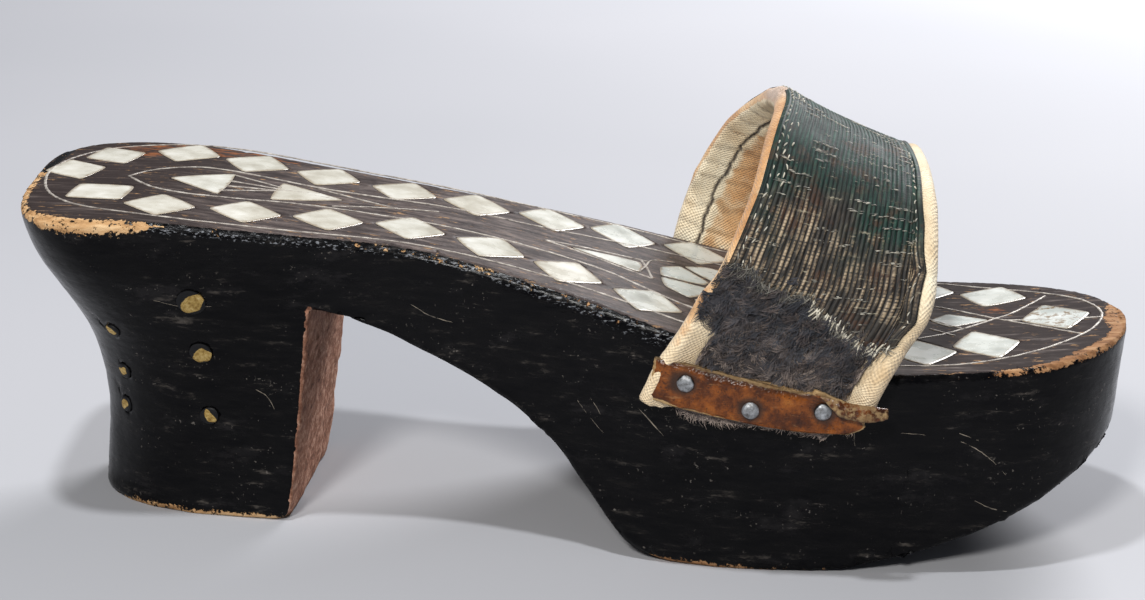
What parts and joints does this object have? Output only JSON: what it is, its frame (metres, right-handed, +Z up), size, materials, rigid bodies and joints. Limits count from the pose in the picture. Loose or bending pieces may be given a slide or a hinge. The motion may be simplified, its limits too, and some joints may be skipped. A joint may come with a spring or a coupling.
{
  "type": "inlaid wooden mule",
  "caption": "Carved wooden platform mule with a flared heel, pearl lozenge inlay on the footbed and an open-ended ribbed cloth strap nailed to its sides.",
  "frame": {"origin": "on the floor, at the centre of the bounding box", "axes": "+X from heel to toe, +Y towards the picture's far side, +Z up"},
  "size_m": [0.2367, 0.0922, 0.092],
  "materials": {
    "black_wood": "worn black paint",
    "pearl": "polished mother of pearl",
    "felt": "fuzzy wool felt",
    "canvas": "old cream canvas",
    "ribbed_cloth": "ribbed weave with metal thread",
    "leather": "worn brown",
    "steel": "dull grey",
    "brass": "worn"
  },
  "bodies": {
    "root": {"carved_sole": "black_wood", "leather_far": "leather", "leather_near": "leather", "nail_far_1": "steel", "nail_far_2": "steel", "nail_far_3": "steel", "nail_near_1": "steel", "nail_near_2": "steel", "nail_near_3": "steel", "pearl_end_1": "pearl", "pearl_end_2": "pearl", "pearl_end_3": "pearl", "pearl_end_4": "pearl", "pearl_end_5": "pearl", "pearl_end_6": "pearl", "pearl_far_01": "pearl", "pearl_far_02": "pearl", "pearl_far_03": "pearl", "pearl_far_04": "pearl", "pearl_far_05": "pearl", "pearl_far_06": "pearl", "pearl_far_07": "pearl", "pearl_far_08": "pearl", "pearl_far_09": "pearl", "pearl_far_10": "pearl", "pearl_far_11": "pearl", "pearl_near_01": "pearl", "pearl_near_02": "pearl", "pearl_near_03": "pearl", "pearl_near_04": "pearl", "pearl_near_05": "pearl", "pearl_near_06": "pearl", "pearl_near_07": "pearl", "pearl_near_08": "pearl", "pearl_near_09": "pearl", "pearl_near_10": "pearl", "pearl_petal_1": "pearl", "pearl_petal_2": "pearl", "pearl_petal_3": "pearl", "pearl_petal_4": "pearl", "pearl_petal_5": "pearl", "pearl_petal_6": "pearl", "pearl_petal_7": "pearl", "pearl_wedge_1": "pearl", "pearl_wedge_2": "pearl", "pearl_wedge_3": "pearl", "pearl_wedge_4": "pearl", "pin_1": "brass", "pin_2": "brass", "pin_3": "brass", "pin_4": "brass", "pin_5": "brass", "pin_6": "brass", "strap_cover": "ribbed_cloth", "strap_felt": "felt", "strap_lining": "canvas"}
  },
  "joints": []
}
